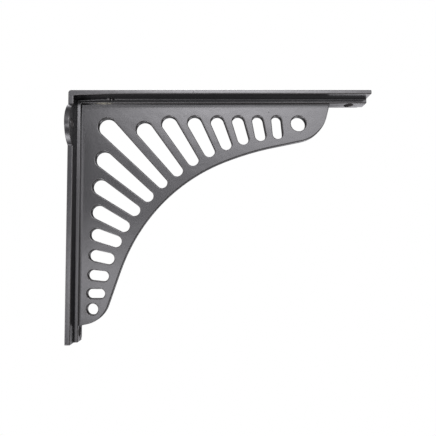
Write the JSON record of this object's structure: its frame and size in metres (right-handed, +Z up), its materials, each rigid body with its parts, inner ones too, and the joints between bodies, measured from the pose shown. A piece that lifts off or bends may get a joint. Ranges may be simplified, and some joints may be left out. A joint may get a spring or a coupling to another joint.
{
  "type": "shelf bracket",
  "caption": "Cast-iron shelf bracket: two flat plates at a right angle, joined by a web pierced with sunray slots, with screw holes in both plates.",
  "frame": {"origin": "middle of the wall plate's back face", "axes": "+X out from the wall along the shelf plate, +Z up, Y across the plates; the part is the same on both sides of Y = 0"},
  "size_m": [0.2, 0.041, 0.1616],
  "materials": {
    "satin_black_iron": "satin black paint"
  },
  "bodies": {
    "root": {"bracket": "satin_black_iron"}
  },
  "joints": []
}
